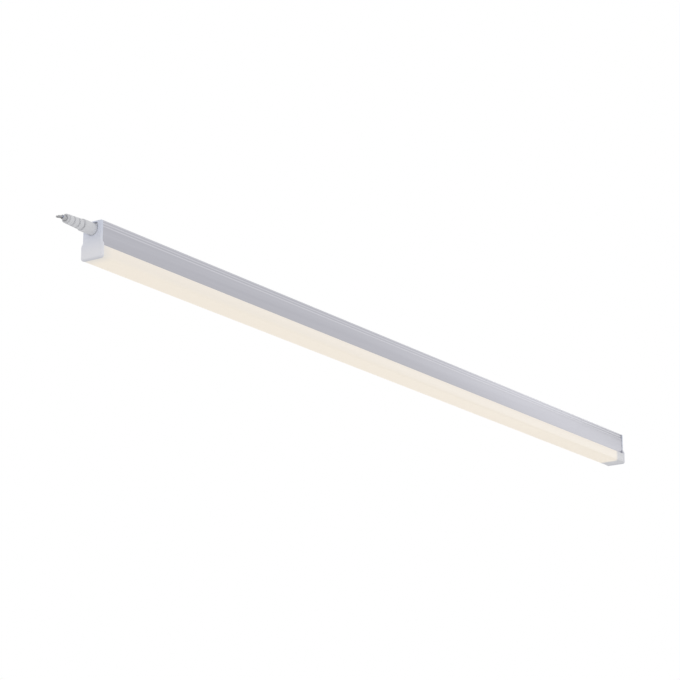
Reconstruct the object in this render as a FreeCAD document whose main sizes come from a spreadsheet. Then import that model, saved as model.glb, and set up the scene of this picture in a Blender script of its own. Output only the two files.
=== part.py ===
import FreeCAD, Part
import math
import os

import Sketcher
from FreeCAD import Placement, Rotation, Vector

# A slim linear ceiling light, hung from two spring clips. +X runs along the light from the plug end to
# the far end, +Y across it, +Z up. The origin is on the ceiling, midway between the clips. Lengths are in
# millimetres.

SIZES = {
    # whole light
    "overall_length": 873.0,
    "ceiling_gap": 0.3,
    "sliding_gap": 0.12,
    # aluminium housing, as an extruded section
    "housing_width": 18.6,
    "housing_side": 19.8,
    "housing_wall": 1.2,
    "rib_pitch": 2.3,
    "rib_depth": 0.4,
    "channel_mouth": 11.0,
    "channel_height": 2.6,
    "lip_thickness": 1.2,
    "web_thickness": 1.0,
    "floor_thickness": 1.2,
    "skirt_width": 15.8,
    "skirt_wall": 1.2,
    "skirt_slot": 1.5,
    "foot_height": 1.2,
    "foot_reach_out": 1.2,
    "foot_reach_in": 1.1,
    # opal diffuser
    "diffuser_width": 22.0,
    "diffuser_depth": 12.2,
    "diffuser_wall": 1.4,
    "diffuser_corner": 2.4,
    # end caps
    "cap_thickness": 2.2,
    "cap_side_overhang": 0.15,
    "cap_under_overhang": 0.9,
    "cap_step_height": 1.5,
    "cap_step_radius": 0.75,
    "cap_corner": 3.0,
    "cap_edge": 0.6,
    "tunnel_length": 12.8,
    "tunnel_wall": 1.1,
    "locating_rib_length": 4.0,
    "locating_rib_wall": 1.0,
    # recess in each cap, and the contacts in it
    "pocket_width": 13.8,
    "pocket_height": 10.9,
    "pocket_corner": 1.6,
    "contact_depth": 6.6,
    "contact_spacing": 6.6,
    "inlet_block_length": 3.0,
    "pin_radius": 1.0,
    "pin_tip": 0.33,
    "pin_length": 8.0,
    "outlet_face_depth": 3.2,
    "socket_bore": 1.3,
    "sleeve_wall": 0.4,
    "sleeve_depth": 4.5,
    "cover_thickness": 2.4,
    "cover_play": 0.15,
    "peg_length": 3.6,
    "finger_slot_length": 6.0,
    "finger_slot_height": 2.0,
    "finger_slot_depth": 1.2,
    # plug and its lead
    "plug_play": 0.3,
    "contact_play": 0.15,
    "plug_head_depth": 3.0,
    "plug_neck_radius": 5.15,
    "plug_neck_length": 16.4,
    "ring_count": 4,
    "ring_pitch": 4.8,
    "ring_groove": 1.5,
    "ring_radius": 4.5,
    "ring_step": 0.22,
    "last_ring_length": 0.5,
    "relief_root_radius": 2.7,
    "lead_radius": 1.8,
    "lead_length": 6.8,
    "lead_grip": 13.0,
    "core_radius": 0.7,
    "core_length": 2.4,
    "ferrule_radius": 0.95,
    "ferrule_length": 5.0,
    "core_spacing": 1.95,
    # light source
    "board_end_gap": 14.0,
    "board_width": 13.0,
    "board_thickness": 1.2,
    "board_margin": 5.0,
    "chip_pitch": 11.75,
    "chip_length": 3.5,
    "chip_width": 2.8,
    "chip_height": 0.8,
    # driver board and its insulating sleeve
    "driver_start": 34.0,
    "driver_board_width": 12.0,
    "driver_board_thickness": 1.2,
    "driver_board_lift": 1.4,
    "driver_offset": 1.4,
    "sleeve_width": 13.0,
    "sleeve_film": 0.4,
    "sleeve_overrun": 2.0,
    "pad_inset": 3.0,
    # parts on the driver board
    "part_gap": 5.5,
    "part_lift": 0.4,
    "leg_width": 0.5,
    "leg_reach": 1.5,
    "live_lane": 3.4,
    "neutral_lane": 2.4,
    "fuse_radius": 1.5,
    "fuse_length": 8.0,
    "varistor_radius": 3.3,
    "varistor_thickness": 3.2,
    "film_length": 11.0,
    "film_width": 4.6,
    "film_height": 8.2,
    "bridge_length": 4.8,
    "bridge_width": 4.0,
    "bridge_height": 2.4,
    "choke_length": 9.0,
    "choke_depth": 3.2,
    "choke_height": 8.8,
    "choke_limb": 1.8,
    "choke_coil": 1.4,
    "can_radius": 4.0,
    "bulk_length": 16.0,
    "output_length": 13.0,
    "inductor_length": 13.0,
    "inductor_depth": 7.0,
    "inductor_height": 9.2,
    "inductor_limb": 1.8,
    "inductor_coil": 1.5,
    "chip_body_length": 4.9,
    "chip_body_width": 3.9,
    "chip_body_height": 1.5,
    "chip_leg_pitch": 1.27,
    "diode_radius": 1.3,
    "diode_length": 5.0,
    # wires
    "wire_radius": 0.85,
    "wire_gap": 0.6,
    "wire_lane": 6.9,
    "wire_exit": 6.0,
    "wire_slant": 11.0,
    "led_wire_spacing": 3.0,
    # ceiling clips
    "clip_inset": 156.5,
    "clip_length": 18.0,
    "clip_base_width": 9.6,
    "clip_strip": 0.6,
    "clip_play": 0.35,
    "clip_reach": 7.3,
    "clip_screw_radius": 2.1,
}


class Size:
    """A number together with the sheet expression that gives it."""

    def __init__(self, number, text):
        self.number = float(number)
        self.text = text

    def __float__(self):
        return self.number

    def __add__(self, other):
        other = as_size(other)
        return Size(self.number + other.number, f"({self.text} + {other.text})")

    def __sub__(self, other):
        other = as_size(other)
        return Size(self.number - other.number, f"({self.text} - {other.text})")

    def __mul__(self, other):
        other = as_size(other)
        return Size(self.number * other.number, f"({self.text} * {other.text})")

    def __truediv__(self, other):
        other = as_size(other)
        return Size(self.number / other.number, f"({self.text} / {other.text})")

    def __neg__(self):
        return Size(-self.number, f"(0 - {self.text})")

    def __radd__(self, other):
        return as_size(other) + self

    def __rsub__(self, other):
        return as_size(other) - self

    def __rmul__(self, other):
        return as_size(other) * self


def as_size(value):
    return value if isinstance(value, Size) else Size(value, repr(float(value)))


doc = FreeCAD.newDocument("linear_light")
sheet = doc.addObject("Spreadsheet::Sheet", "sizes")
for row, (alias, value) in enumerate(SIZES.items(), start=1):
    sheet.set(f"A{row}", alias)
    sheet.set(f"B{row}", str(value))
    sheet.setAlias(f"B{row}", alias)
doc.recompute()


class Sheet:
    """The sheet's sizes by name."""

    def __getattr__(self, alias):
        return Size(SIZES[alias], f"sizes.{alias}")


s = Sheet()
nodes = []

# ---- heights below the ceiling plane and half widths, from which the section is drawn
housing_top = -s.ceiling_gap
lip_under = housing_top - s.lip_thickness
web_top = lip_under - s.channel_height
web_under = web_top - s.web_thickness
housing_step = housing_top - s.housing_side
floor_top = housing_step + s.floor_thickness
foot_top = housing_step - s.skirt_slot
foot_under = foot_top - s.foot_height
diffuser_top = housing_step - s.sliding_gap
diffuser_under = housing_step - s.diffuser_depth
cap_under = diffuser_under - s.cap_under_overhang
contact_height = housing_top - s.contact_depth

side_outer = s.housing_width / 2
side_inner = side_outer - s.housing_wall
skirt_outer = s.skirt_width / 2
skirt_inner = skirt_outer - s.skirt_wall
foot_outer = skirt_outer + s.foot_reach_out
foot_inner = skirt_inner - s.foot_reach_in
mouth = s.channel_mouth / 2
diffuser_outer = s.diffuser_width / 2
diffuser_inner = diffuser_outer - s.diffuser_wall
cap_upper = side_outer + s.cap_side_overhang
cap_lower = diffuser_outer + s.cap_side_overhang

half_length = s.overall_length / 2
extrusion_length = s.overall_length - 2 * s.cap_thickness
tunnel_half = side_inner - s.sliding_gap
tunnel_end = half_length - s.cap_thickness - s.tunnel_length

# the recess of a cap and the faces of its contacts
pocket_half_width = s.pocket_width / 2
pocket_half_height = s.pocket_height / 2
pocket_low = contact_height - pocket_half_height
pocket_high = contact_height + pocket_half_height
inlet_face = -tunnel_end - s.inlet_block_length
outlet_face = half_length - s.outlet_face_depth
clip_x = half_length - s.clip_inset

# the light source: a board that lies on the inner edges of the housing's feet
board_half = half_length - s.board_end_gap
board_under = foot_top + s.sliding_gap
chip_under = board_under - s.chip_height

# the driver, row by row from the mains end to the output
sleeve_under = floor_top + s.sliding_gap
sleeve_top = web_under - s.sliding_gap
driver_y = -s.driver_offset
driver_x = s.driver_start - half_length
driver_under = sleeve_under + s.sleeve_film + s.driver_board_lift
driver_top = driver_under + s.driver_board_thickness
mains_pad_x = driver_x + s.pad_inset
mains_row = mains_pad_x + s.wire_radius + s.part_gap
filter_row = mains_row + s.fuse_length + 2 * s.leg_reach + s.part_gap
choke_row = filter_row + s.film_length + s.part_gap
bulk_row = choke_row + s.choke_length + s.part_gap + s.leg_reach
inductor_row = bulk_row + s.bulk_length + s.part_gap
chip_row = inductor_row + s.inductor_length + s.part_gap
diode_row = chip_row + s.chip_body_length + s.part_gap
output_row = diode_row + s.diode_length + 2 * s.leg_reach + s.part_gap + s.leg_reach
led_pad_x = output_row + s.output_length + s.part_gap + s.wire_radius
driver_length = led_pad_x + s.pad_inset - driver_x
led_wire_x = led_pad_x + s.pad_inset + s.sleeve_overrun + 4 * s.wire_radius


# ---- helpers
def bind(thing, **sizes):
    """Ties properties of a document object to the sheet."""
    for name, size in sizes.items():
        thing.setExpression(name, as_size(size).text)


def place(thing, x=0, y=0, z=0, rotation=None):
    """Sets where a document object lies, by expressions."""
    x, y, z = as_size(x), as_size(y), as_size(z)
    thing.Placement = Placement(Vector(float(x), float(y), float(z)), rotation or Rotation())
    for axis, size in (("x", x), ("y", y), ("z", z)):
        thing.setExpression(f"Placement.Base.{axis}", size.text)
    return thing


def node(thing, label):
    """Names a finished sub-part."""
    thing.Label = label
    nodes.append(thing)
    return thing


def block(name, corner, length, width, height):
    """A box from its lowest corner."""
    box = doc.addObject("Part::Box", name)
    bind(box, Length=length, Width=width, Height=height)
    return place(box, *corner)


TURNS = {
    "X": Rotation(Vector(0, 1, 0), 90),
    "Y": Rotation(Vector(1, 0, 0), -90),
    "Z": Rotation(),
}


def rod(name, start, radius, length, axis="X"):
    """A round bar from the middle of its first end, along +X, +Y or +Z."""
    bar = doc.addObject("Part::Cylinder", name)
    bind(bar, Radius=radius, Height=length)
    return place(bar, *start, rotation=TURNS[axis])


def joined(name, *parts):
    fused = doc.addObject("Part::MultiFuse", name)
    fused.Shapes = list(parts)
    return fused


def grouped(name, *parts):
    """Separate solids kept together as one sub-part."""
    group = doc.addObject("Part::Compound", name)
    group.Links = list(parts)
    return group


def less(name, base, *tools):
    """The base with the tools cut away."""
    cut = doc.addObject("Part::Cut", name)
    cut.Base = base
    cut.Tool = tools[0] if len(tools) == 1 else joined(name + "_tools", *tools)
    return cut


def plane_of(body, role):
    return next(f for f in body.Origin.OriginFeatures if f.Role == role)


def pin_point(sketch, line, point):
    """Ties the start of a sketch line to the sheet."""
    for kind, size in zip(("DistanceX", "DistanceY"), point):
        number = sketch.addConstraint(Sketcher.Constraint(kind, -1, 1, line, 1, float(size)))
        sketch.setExpression(f"Constraints[{number}]", size.text)


def draw_outline(sketch, points):
    """Draws one closed outline of straight lines."""
    points = [(as_size(u), as_size(v)) for u, v in points]
    ends = [Vector(float(u), float(v), 0) for u, v in points]
    first = sketch.GeometryCount
    count = len(points)
    for i in range(count):
        sketch.addGeometry(Part.LineSegment(ends[i], ends[(i + 1) % count]), False)
    for i in range(count):
        sketch.addConstraint(Sketcher.Constraint("Coincident", first + i, 2, first + (i + 1) % count, 1))
    for i in range(count):
        pin_point(sketch, first + i, points[i])


def draw_circle(sketch, centre, radius):
    """Draws one circle."""
    u, v, radius = as_size(centre[0]), as_size(centre[1]), as_size(radius)
    circle = Part.Circle(Vector(float(u), float(v), 0), Vector(0, 0, 1), float(radius))
    ring = sketch.addGeometry(circle, False)
    number = sketch.addConstraint(Sketcher.Constraint("Radius", ring, float(radius)))
    sketch.setExpression(f"Constraints[{number}]", radius.text)
    for kind, size in (("DistanceX", u), ("DistanceY", v)):
        number = sketch.addConstraint(Sketcher.Constraint(kind, -1, 1, ring, 3, float(size)))
        sketch.setExpression(f"Constraints[{number}]", size.text)


def new_sketch(body, name, plane, offset, outlines=(), circles=()):
    """A sketch on one of the body's own planes, moved along its normal."""
    sketch = body.newObject("Sketcher::SketchObject", name)
    sketch.AttachmentSupport = (plane_of(body, plane), [""])
    sketch.MapMode = "FlatFace"
    sketch.setExpression("AttachmentOffset.Base.z", as_size(offset).text)
    for outline in outlines:
        draw_outline(sketch, outline)
    for centre, radius in circles:
        draw_circle(sketch, centre, radius)
    return sketch


def pad(body, name, plane, start, length, outlines=(), circles=()):
    """Adds material from start along the plane's normal."""
    feature = body.newObject("PartDesign::Pad", name)
    feature.Profile = new_sketch(body, name + "_sketch", plane, start, outlines, circles)
    bind(feature, Length=length)
    doc.recompute()
    return feature


def pocket(body, name, plane, start, length, outlines=(), circles=()):
    """Takes material away from start along the plane's normal."""
    before = body.Shape.Volume
    feature = body.newObject("PartDesign::Pocket", name)
    feature.Profile = new_sketch(body, name + "_sketch", plane, start, outlines, circles)
    feature.Reversed = True
    bind(feature, Length=length)
    doc.recompute()
    if body.Shape.Volume >= before:
        raise ValueError(f"{name} cuts nothing")
    return feature


def revolved(body, name, outline):
    """Turns an outline drawn on the XY plane round the X axis."""
    feature = body.newObject("PartDesign::Revolution", name)
    sketch = new_sketch(body, name + "_sketch", "XY_Plane", 0, [outline])
    feature.Profile = sketch
    feature.ReferenceAxis = (sketch, ["H_Axis"])
    doc.recompute()
    return feature


def rounded(body, name, feature, radius, picks):
    """Rounds the edges of a feature that the test picks."""
    names = [f"Edge{i}" for i, edge in enumerate(feature.Shape.Edges, start=1) if picks(edge)]
    if not names:
        raise ValueError(f"{name} finds no edge")
    fillet = body.newObject("PartDesign::Fillet", name)
    fillet.Base = (feature, names)
    bind(fillet, Radius=radius)
    doc.recompute()
    return fillet


def bevelled(body, name, feature, size, picks):
    """Bevels the edges of a feature that the test picks."""
    names = [f"Edge{i}" for i, edge in enumerate(feature.Shape.Edges, start=1) if picks(edge)]
    if not names:
        raise ValueError(f"{name} finds no edge")
    chamfer = body.newObject("PartDesign::Chamfer", name)
    chamfer.Base = (feature, names)
    bind(chamfer, Size=size)
    doc.recompute()
    return chamfer


def middle(edge):
    return edge.valueAt((edge.FirstParameter + edge.LastParameter) / 2)


def along(edge, direction):
    start, end = edge.Vertexes[0].Point, edge.Vertexes[-1].Point
    run = end - start
    return run.Length > 0 and abs(run.normalize().dot(direction)) > 0.999


NEAR = 0.02
BEYOND = 1.0
SIDES = (-1, 1)
X_AXIS = Vector(1, 0, 0)


def long_edges_at(*corners):
    """Picks edges along X that pass through the given (y, z) corners, on both sides of the middle."""
    def picks(edge):
        if not along(edge, X_AXIS):
            return False
        at = middle(edge)
        return any(abs(abs(at.y) - float(y)) < NEAR and abs(at.z - float(z)) < NEAR for y, z in corners)
    return picks


def mirrored_outline(right_half):
    """Closes an outline that is alike on both sides of Y = 0 from its right half, listed bottom to top."""
    left_half = [(-as_size(u), v) for u, v in reversed(right_half)]
    return list(right_half) + left_half


def rectangle(half_width, low, high):
    return [(-half_width, low), (half_width, low), (half_width, high), (-half_width, high)]


# ---- housing, diffuser and light source
def make_housing():
    """The extruded body: a channel for the clips on top, a chamber for the driver, feet for the diffuser."""
    rib_root = side_outer - s.rib_depth
    first_rib = housing_top - s.rib_pitch
    second_rib = first_rib - s.rib_pitch
    section = mirrored_outline([
        (skirt_inner, housing_step),
        (skirt_inner, foot_top),
        (foot_inner, foot_top),
        (foot_inner, foot_under),
        (foot_outer, foot_under),
        (foot_outer, foot_top),
        (skirt_outer, foot_top),
        (skirt_outer, housing_step),
        (side_outer, housing_step),
        (side_outer, second_rib),
        (rib_root, second_rib),
        (side_outer, first_rib),
        (rib_root, first_rib),
        (side_outer, housing_top),
        (mouth, housing_top),
        (mouth, lip_under),
        (side_inner, lip_under),
        (side_inner, web_top),
    ])
    chamber = rectangle(side_inner, floor_top, web_under)
    body = doc.addObject("PartDesign::Body", "housing")
    pad(body, "housing_section", "YZ_Plane", -extrusion_length / 2, extrusion_length, [section, chamber])
    # The lips and the web are milled away at both ends, where the tunnels of the caps stand.
    notch = rectangle(side_inner, web_under - s.sliding_gap, housing_top + s.ceiling_gap)
    notch_length = s.tunnel_length + s.sliding_gap
    pocket(body, "near_notch", "YZ_Plane", -extrusion_length / 2, notch_length, [notch])
    pocket(body, "far_notch", "YZ_Plane", extrusion_length / 2 - notch_length, notch_length, [notch])
    # The wires of the light source pass through a hole in the floor.
    half_hole_length = s.wire_radius + s.wire_gap
    half_hole_width = s.led_wire_spacing / 2 + half_hole_length
    hole = [
        (led_wire_x - half_hole_length, -half_hole_width),
        (led_wire_x + half_hole_length, -half_hole_width),
        (led_wire_x + half_hole_length, half_hole_width),
        (led_wire_x - half_hole_length, half_hole_width),
    ]
    pocket(body, "wire_hole", "XY_Plane", housing_step - BEYOND, s.floor_thickness + 2 * BEYOND, [hole])
    return node(body, "housing")


def make_diffuser():
    """The opal trough. Its flanges slide in the grooves between the housing's sides and its feet."""
    flange_tip = skirt_outer + s.sliding_gap
    flange_under = foot_top + s.sliding_gap
    section = mirrored_outline([
        (diffuser_outer, diffuser_under),
        (diffuser_outer, diffuser_top),
        (flange_tip, diffuser_top),
        (flange_tip, flange_under),
        (diffuser_inner, flange_under),
        (diffuser_inner, diffuser_under + s.diffuser_wall),
    ])
    body = doc.addObject("PartDesign::Body", "diffuser")
    trough = pad(body, "diffuser_section", "YZ_Plane", -extrusion_length / 2, extrusion_length, [section])
    outer = rounded(body, "outer_corners", trough, s.diffuser_corner,
                    long_edges_at((diffuser_outer, diffuser_under)))
    rounded(body, "inner_corners", outer, s.diffuser_corner - s.diffuser_wall,
            long_edges_at((diffuser_inner, diffuser_under + s.diffuser_wall)))
    return node(body, "diffuser")


def make_light_source():
    """The board in the slots of the housing's feet, and the row of LED chips under it."""
    plate = block("board_plate", (-board_half, -s.board_width / 2, board_under),
                  2 * board_half, s.board_width, s.board_thickness)
    holes = [rod(f"board_hole_{side:+d}", (led_wire_x, side * s.led_wire_spacing / 2, board_under - BEYOND),
                 s.wire_radius + s.sliding_gap, s.board_thickness + 2 * BEYOND, "Z") for side in SIDES]
    node(less("board", plate, *holes), "led_board")

    # As many chips as the board has room for, but none where the wires come through.
    chips = []
    gaps = int(float(board_half - s.board_margin) * 2 / float(s.chip_pitch))
    for i in range(gaps + 1):
        x = float((i - gaps / 2) * s.chip_pitch)
        if abs(x - float(led_wire_x)) < float(s.chip_length):
            continue
        corner = Vector(x - float(s.chip_length) / 2, -float(s.chip_width) / 2, float(chip_under))
        chips.append(Part.makeBox(float(s.chip_length), float(s.chip_width), float(s.chip_height), corner))
    row = doc.addObject("Part::Feature", "chips")
    row.Shape = Part.makeCompound(chips)
    row.Placement = Placement()
    node(row, "led_chips")


# ---- end caps and their contacts. Each cap is drawn for the near end; the far one is turned round.
def make_cap(name, turned):
    """A stepped cap with a recess that runs back as a tunnel between the housing's sides."""
    flange_start = -half_length
    step_top = housing_step + s.cap_step_height
    outline = mirrored_outline([
        (cap_lower, cap_under),
        (cap_lower, housing_step),
        (cap_upper, step_top),
        (cap_upper, housing_top),
    ])
    body = doc.addObject("PartDesign::Body", name)
    flange = pad(body, name + "_flange", "YZ_Plane", flange_start, s.cap_thickness, [outline])
    low = rounded(body, name + "_low_corners", flange, s.cap_corner, long_edges_at((cap_lower, cap_under)))
    side = rounded(body, name + "_step_corners", low, s.cap_step_radius,
                   long_edges_at((cap_lower, housing_step), (cap_upper, step_top)))
    face_x = float(flange_start)
    bevelled(body, name + "_face_edge", side, s.cap_edge,
             lambda edge: all(abs(vertex.Point.x - face_x) < NEAR for vertex in edge.Vertexes))
    tunnel_start = flange_start + s.cap_thickness
    # The tunnel's roof closes the gap in the lips of the channel.
    pad(body, name + "_tunnel", "YZ_Plane", tunnel_start, s.tunnel_length,
        [rectangle(tunnel_half, pocket_low - s.tunnel_wall, housing_top)])
    # The locating rib fits inside the end of the diffuser.
    rib_outer = diffuser_inner - s.sliding_gap
    rib_low = diffuser_under + s.diffuser_wall + s.sliding_gap
    rib_high = foot_under - s.sliding_gap
    shoulder = s.diffuser_corner - s.diffuser_wall
    rib = mirrored_outline([
        (rib_outer - shoulder, rib_low),
        (rib_outer, rib_low + shoulder),
        (rib_outer, rib_high),
        (rib_outer - s.locating_rib_wall, rib_high),
        (rib_outer - s.locating_rib_wall, rib_low + shoulder + s.locating_rib_wall / 2),
        (rib_outer - shoulder - s.locating_rib_wall / 2, rib_low + s.locating_rib_wall),
    ])
    pad(body, name + "_rib", "YZ_Plane", tunnel_start, s.locating_rib_length, [rib])
    recess_length = s.cap_thickness + s.tunnel_length
    recess = pocket(body, name + "_recess", "YZ_Plane", flange_start - BEYOND, recess_length + 2 * BEYOND,
                    [rectangle(pocket_half_width, pocket_low, pocket_high)])
    rounded(body, name + "_recess_corners", recess, s.pocket_corner,
            long_edges_at((pocket_half_width, pocket_low), (pocket_half_width, pocket_high)))
    if turned:
        body.Placement = Placement(Vector(), Rotation(Vector(0, 0, 1), 180))
    return node(body, name)


def rounded_block(name, start, length, half_width, half_height, corner, circles=()):
    """A block along X with rounded long edges, centred on the contacts, with round holes right through."""
    body = doc.addObject("PartDesign::Body", name)
    low, high = contact_height - half_height, contact_height + half_height
    base = pad(body, name + "_block", "YZ_Plane", start, length, [rectangle(half_width, low, high)])
    rounded(body, name + "_corners", base, corner, long_edges_at((half_width, low), (half_width, high)))
    if circles:
        pocket(body, name + "_holes", "YZ_Plane", start - BEYOND, length + 2 * BEYOND, circles=circles)
    return body


def contact_y(side):
    return side * s.contact_spacing / 2


def make_inlet():
    """The block at the bottom of the near recess, and the two pins that stand in it."""
    holes = [((contact_y(side), contact_height), s.pin_radius) for side in SIDES]
    body = rounded_block("inlet_block", inlet_face, s.inlet_block_length,
                         pocket_half_width, pocket_half_height, s.pocket_corner, holes)
    node(body, "inlet_block")
    pins = []
    for side in SIDES:
        pin = doc.addObject("PartDesign::Body", f"pin_{side:+d}")
        length = s.pin_length + s.inlet_block_length
        revolved(pin, f"pin_{side:+d}_shape", [
            (0, 0),
            (0, s.pin_radius - s.pin_tip),
            (s.pin_tip, s.pin_radius),
            (length, s.pin_radius),
            (length, 0),
        ])
        pins.append(place(pin, inlet_face - s.pin_length, contact_y(side), contact_height))
    node(grouped("pins", *pins), "inlet_pins")


def make_outlet():
    """The block in the far recess, and the sleeves in its two bores that take the next light's pins."""
    hole_radius = s.socket_bore + s.sleeve_wall
    holes = [((contact_y(side), contact_height), hole_radius) for side in SIDES]
    length = outlet_face - tunnel_end
    body = rounded_block("outlet_block", tunnel_end, length, pocket_half_width, pocket_half_height,
                         s.pocket_corner, holes)
    node(body, "outlet_block")
    sleeves = []
    for side in SIDES:
        start = (tunnel_end, contact_y(side), contact_height)
        outer = rod(f"outlet_sleeve_{side:+d}", start, hole_radius, length - s.sleeve_depth)
        bore_start = (tunnel_end + 2 * s.sleeve_wall, contact_y(side), contact_height)
        bore = rod(f"outlet_bore_{side:+d}", bore_start, s.socket_bore, length)
        sleeves.append(less(f"outlet_contact_{side:+d}", outer, bore))
    node(grouped("outlet_contacts", *sleeves), "outlet_sockets")


def make_blanking_cover():
    """A plate in the mouth of the far recess, held by two pegs in the bores of the outlet."""
    start = outlet_face + s.cover_play
    body = rounded_block("blanking_cover", start, s.cover_thickness, pocket_half_width - s.cover_play,
                         pocket_half_height - s.cover_play, s.pocket_corner)
    peg_radius = s.socket_bore + s.sleeve_wall - s.cover_play
    pegs = [((contact_y(side), contact_height), peg_radius) for side in SIDES]
    pad(body, "pegs", "YZ_Plane", start - s.peg_length, s.peg_length, circles=pegs)
    # A slot in the outer face is gripped by a fingernail.
    slot = rectangle(s.finger_slot_length / 2, contact_height - s.finger_slot_height / 2,
                     contact_height + s.finger_slot_height / 2)
    slot_start = start + s.cover_thickness - s.finger_slot_depth
    pocket(body, "finger_slot", "YZ_Plane", slot_start, s.finger_slot_depth + BEYOND, [slot])
    node(body, "blanking_cover")


# ---- plug, strain relief and the short end of lead
def make_plug_head():
    """The hard front block of the plug and the two sleeves that slide over the pins of the inlet."""
    front = -half_length + s.plug_head_depth
    length = inlet_face - s.plug_play - front
    bore_radius = s.pin_radius + s.contact_play
    sleeve_radius = bore_radius + s.sleeve_wall
    holes = [((contact_y(side), contact_height), sleeve_radius) for side in SIDES]
    head = rounded_block("plug_insert", front, length, pocket_half_width - s.plug_play,
                         pocket_half_height - s.plug_play, s.pocket_corner, holes)
    node(head, "plug_insert")
    sleeves = []
    for side in SIDES:
        start = (front, contact_y(side), contact_height)
        outer = rod(f"plug_sleeve_{side:+d}", start, sleeve_radius, length)
        bore_start = (front - BEYOND, contact_y(side), contact_height)
        bore = rod(f"plug_bore_{side:+d}", bore_start, bore_radius, length + 2 * BEYOND)
        sleeves.append(less(f"plug_contact_{side:+d}", outer, bore))
    node(grouped("plug_contacts", *sleeves), "plug_sockets")


relief_length = (s.ring_count - 1) * s.ring_pitch + s.ring_groove + s.last_ring_length
plug_tip_x = -half_length - s.plug_neck_length - relief_length


def make_plug_body():
    """The soft neck of the plug, and the strain relief behind it.

    The strain relief is a supple root inside rings that step down in size, with a groove before each ring.
    The outline is drawn along X from the tip of the strain relief.
    """
    rings = int(s.ring_count.number)
    outline = [(0, 0)]
    for i in reversed(range(rings)):
        groove_end = relief_length - i * s.ring_pitch
        groove_start = groove_end - s.ring_groove
        ring_start = as_size(0) if i == rings - 1 else groove_end - s.ring_pitch
        radius = s.ring_radius - i * s.ring_step
        outline += [
            (ring_start, radius),
            (groove_start, radius),
            (groove_start, s.relief_root_radius),
            (groove_end, s.relief_root_radius),
        ]
    neck_end = relief_length + s.plug_neck_length + s.plug_head_depth
    outline += [
        (relief_length, s.plug_neck_radius),
        (neck_end, s.plug_neck_radius),
        (neck_end, 0),
    ]
    body = doc.addObject("PartDesign::Body", "plug_body")
    revolved(body, "plug_turned", outline)
    pocket(body, "lead_bore", "YZ_Plane", -BEYOND, s.lead_grip + BEYOND, circles=[((0, 0), s.lead_radius)])
    place(body, plug_tip_x, 0, contact_height)
    node(body, "plug_body")


def make_lead():
    """The short end of lead, and its two cores with their ferrules."""
    sheath_end = plug_tip_x - s.lead_length
    node(rod("sheath", (sheath_end, 0, contact_height), s.lead_radius, s.lead_length + s.lead_grip),
         "lead_sheath")
    cores, ferrules = [], []
    for side in SIDES:
        y = side * s.core_spacing / 2
        core_start = sheath_end - s.core_length
        ferrule_start = core_start - s.ferrule_length
        cores.append(rod(f"core_{side:+d}", (core_start, y, contact_height), s.core_radius, s.core_length))
        ferrules.append(rod(f"ferrule_{side:+d}", (ferrule_start, y, contact_height),
                            s.ferrule_radius, s.ferrule_length))
    node(grouped("cores", *cores), "lead_cores")
    node(grouped("ferrules", *ferrules), "core_ferrules")


# ---- driver
def make_driver_case():
    """The insulating sleeve and the circuit board that slides in it."""
    length = driver_length + 2 * s.sleeve_overrun
    start = driver_x - s.sleeve_overrun
    half_width = s.sleeve_width / 2
    outer = block("sleeve_outer", (start, driver_y - half_width, sleeve_under),
                  length, s.sleeve_width, sleeve_top - sleeve_under)
    inner = block("sleeve_inner",
                  (start - BEYOND, driver_y - half_width + s.sleeve_film, sleeve_under + s.sleeve_film),
                  length + 2 * BEYOND, s.sleeve_width - 2 * s.sleeve_film,
                  sleeve_top - sleeve_under - 2 * s.sleeve_film)
    node(less("sleeve", outer, inner), "driver_sleeve")
    board = block("driver_plate", (driver_x, driver_y - s.driver_board_width / 2, driver_under),
                  driver_length, s.driver_board_width, s.driver_board_thickness)
    node(board, "driver_board")


def leg(name, x, y, height):
    """A square leg that stands on the board, from the middle of its foot."""
    corner = (x - s.leg_width / 2, y - s.leg_width / 2, driver_top)
    return block(name, corner, s.leg_width, s.leg_width, height)


def make_can(label, x, length):
    """A capacitor can that lies on the board, with its two bent legs."""
    height = s.can_radius + s.part_lift
    can = rod(label + "_can", (x, driver_y, driver_top + height), s.can_radius, length)
    legs = []
    for side in SIDES:
        y = driver_y + side * s.can_radius / 2
        bend_start = (x - s.leg_reach, y - s.leg_width / 2, driver_top + height - s.leg_width / 2)
        legs.append(leg(f"{label}_leg_{side:+d}", x - s.leg_reach + s.leg_width / 2, y, height))
        legs.append(block(f"{label}_bend_{side:+d}", bend_start, 2 * s.leg_reach, s.leg_width, s.leg_width))
    node(joined(label + "_whole", can, *legs), label)


def make_axial(label, x, y, radius, length):
    """A round part along X on two legs, such as a resistor or a diode."""
    height = radius + s.part_lift
    total = length + 2 * s.leg_reach
    barrel = rod(label + "_barrel", (x + s.leg_reach, y, driver_top + height), radius, length)
    wire = block(label + "_wire", (x, y - s.leg_width / 2, driver_top + height - s.leg_width / 2),
                 total, s.leg_width, s.leg_width)
    legs = [leg(f"{label}_leg_first", x + s.leg_width / 2, y, height),
            leg(f"{label}_leg_last", x + total - s.leg_width / 2, y, height)]
    node(joined(label + "_whole", barrel, wire, *legs), label)


def make_box_part(label, x, y, length, width, height, legs_at):
    """A moulded box just above the board, on legs placed from the middle of its near side."""
    case = block(label + "_case", (x, y - width / 2, driver_top + s.part_lift), length, width, height)
    legs = [leg(f"{label}_leg_{i}", x + dx, y + dy, s.part_lift + s.leg_width)
            for i, (dx, dy) in enumerate(legs_at)]
    node(joined(label + "_whole", case, *legs), label)


def make_varistor(x, y):
    """A disc that stands across the board on its two legs."""
    disc_height = s.varistor_radius + s.part_lift
    disc = rod("varistor_disc", (x, y, driver_top + disc_height), s.varistor_radius, s.varistor_thickness)
    legs = [leg(f"varistor_leg_{side:+d}", x + s.varistor_thickness / 2, y + side * s.varistor_radius / 2,
                disc_height) for side in SIDES]
    node(joined("varistor_whole", disc, *legs), "varistor")


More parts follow.
